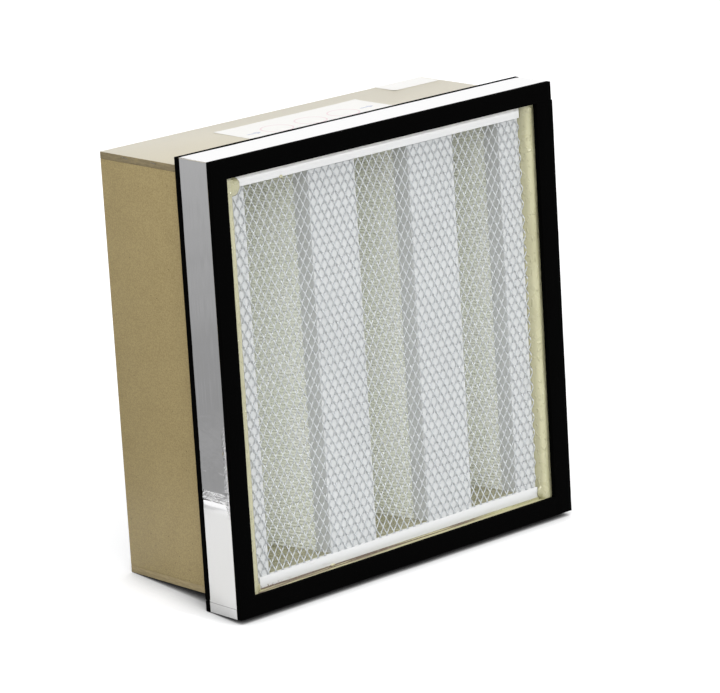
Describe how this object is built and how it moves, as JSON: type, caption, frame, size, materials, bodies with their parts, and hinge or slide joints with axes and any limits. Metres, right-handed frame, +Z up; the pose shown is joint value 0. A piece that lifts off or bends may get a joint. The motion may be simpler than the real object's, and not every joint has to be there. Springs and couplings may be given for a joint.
{
  "type": "hepa filter",
  "caption": "Deep air filter: slanted pleated packs in a wooden case, sealed with resin, behind expanded metal guards, with a foil-taped collar and foam gaskets.",
  "frame": {"origin": "on the ground plane under the middle of the box that the whole filter fills", "axes": "+Z up, +Y from the guarded mouth with the wide front gasket towards the back of the case, +X to the right as the mouth is looked at"},
  "size_m": [0.612, 0.243, 0.61],
  "materials": {
    "fibreboard": "bare medium-density fibreboard, speckled, matt",
    "foil": "bright aluminium tape with creases",
    "foam": "matt black closed-cell foam",
    "media": "soft off-white glass-fibre paper in fine pleats",
    "channel": "plain white, low sheen",
    "rail": "white, satin",
    "guard": "white powder coat, satin",
    "resin": "yellowish cast sealing resin, smooth and glossy",
    "label": "white sticker"
  },
  "bodies": {
    "root": {"bottom_board": "fibreboard", "top_board": "fibreboard", "left_board": "fibreboard", "right_board": "fibreboard", "bottom_batten": "fibreboard", "top_batten": "fibreboard", "left_batten": "fibreboard", "right_batten": "fibreboard", "foil_band": "foil", "front_foam_left": "foam", "front_foam_top": "foam", "front_foam_right": "foam", "front_foam_bottom": "foam", "rear_foam_left": "foam", "rear_foam_top": "foam", "rear_foam_right": "foam", "rear_foam_bottom": "foam", "pleat_pack_1": "media", "pleat_pack_2": "media", "pleat_pack_3": "media", "pleat_pack_4": "media", "pleat_pack_5": "media", "pleat_pack_6": "media", "front_nose_left_side": "channel", "front_nose_left": "channel", "front_nose_right": "channel", "front_nose_right_side": "channel", "rear_nose_left": "channel", "rear_nose_middle": "channel", "rear_nose_right": "channel", "front_bottom_rail": "rail", "front_top_rail": "rail", "rear_bottom_rail": "rail", "rear_top_rail": "rail", "front_guard": "guard", "rear_guard": "guard", "left_bead": "resin", "right_bead": "resin", "bottom_bed": "resin", "top_bed": "resin", "wide_label": "label", "small_label": "label"}
  },
  "joints": []
}
